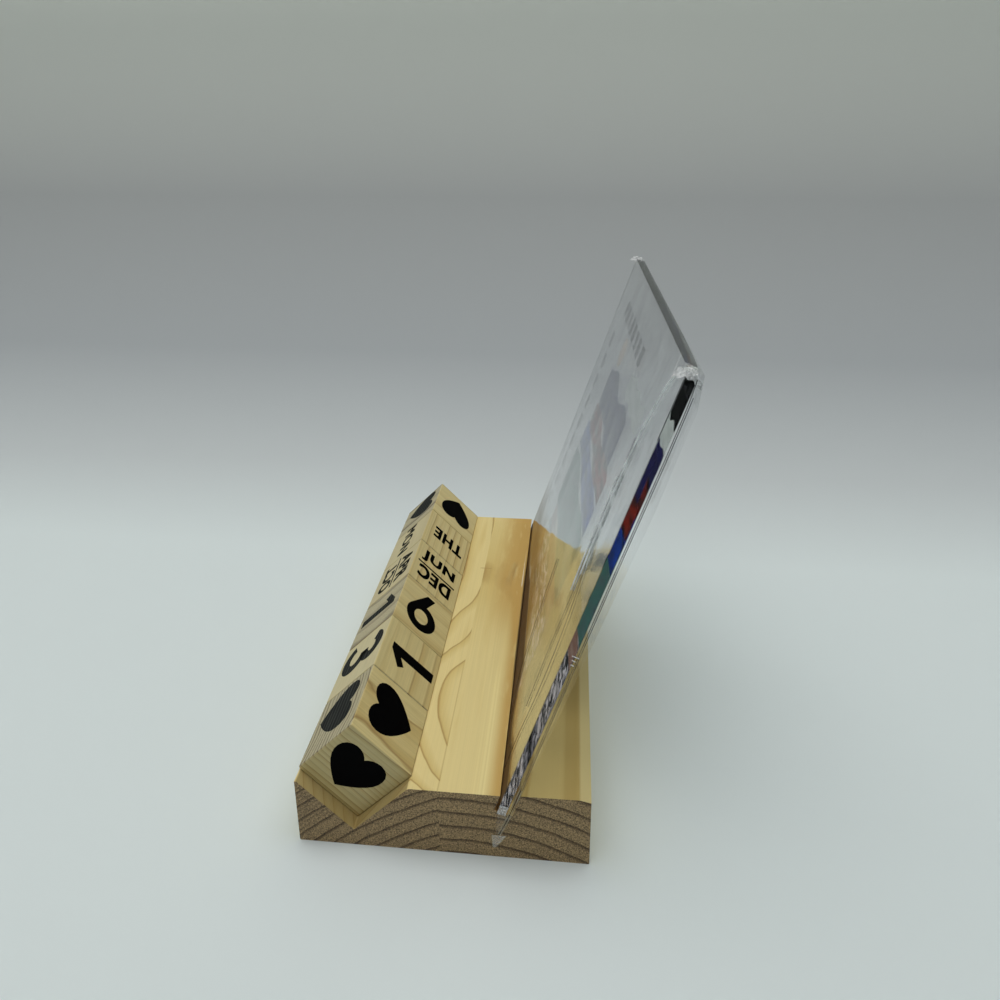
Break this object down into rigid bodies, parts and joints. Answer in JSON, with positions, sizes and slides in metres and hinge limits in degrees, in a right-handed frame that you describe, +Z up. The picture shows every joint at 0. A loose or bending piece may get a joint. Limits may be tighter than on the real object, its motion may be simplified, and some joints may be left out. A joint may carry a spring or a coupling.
{
  "type": "perpetual desk calendar",
  "caption": "Block calendar: glued pine base with a V-groove of loose cubes on edge and a slot that holds a clear panel in a film sleeve, leaning back.",
  "frame": {"origin": "centre of the base's underside, on the surface it stands on", "axes": "+X along the row of cubes towards the end where the panel overhangs, +Y from the cubes to the panel, +Z up"},
  "size_m": [0.156, 0.1109, 0.1579],
  "materials": {
    "pine_board": "bare planed pine, end grain at the ends",
    "pine_cube": "bare sanded pine with black printed figures",
    "clear_acrylic": "clear cast sheet, polished",
    "clear_film": "thin clear packing film, crinkled at its corners",
    "black_ink": "black printing ink",
    "colour_ink": "colour printing ink on the panel"
  },
  "bodies": {
    "base": {"front_rail": "pine_board", "back_rail": "pine_board"},
    "heart_near": {"cube_heart_near": "pine_cube"},
    "units": {"cube_units": "pine_cube"},
    "tens": {"cube_tens": "pine_cube"},
    "month": {"cube_month": "pine_cube"},
    "weekday": {"cube_weekday": "pine_cube"},
    "heart_far": {"cube_heart_far": "pine_cube"},
    "panel": {"acrylic_panel": "clear_acrylic", "film_sleeve": "clear_film"}
  },
  "joints": [
    {"name": "heart_near_lift", "type": "slide", "parent": "base", "child": "heart_near", "axis": [0, 0, 1], "range_m": [0, 0.04]},
    {"name": "units_lift", "type": "slide", "parent": "base", "child": "units", "axis": [0, 0, 1], "range_m": [0, 0.04]},
    {"name": "tens_lift", "type": "slide", "parent": "base", "child": "tens", "axis": [0, 0, 1], "range_m": [0, 0.04]},
    {"name": "month_lift", "type": "slide", "parent": "base", "child": "month", "axis": [0, 0, 1], "range_m": [0, 0.04]},
    {"name": "weekday_lift", "type": "slide", "parent": "base", "child": "weekday", "axis": [0, 0, 1], "range_m": [0, 0.04]},
    {"name": "heart_far_lift", "type": "slide", "parent": "base", "child": "heart_far", "axis": [0, 0, 1], "range_m": [0, 0.04]},
    {"name": "panel_lift", "type": "slide", "parent": "base", "child": "panel", "axis": [0, 0.3173, 0.9483], "range_m": [0, 0.03]}
  ]
}
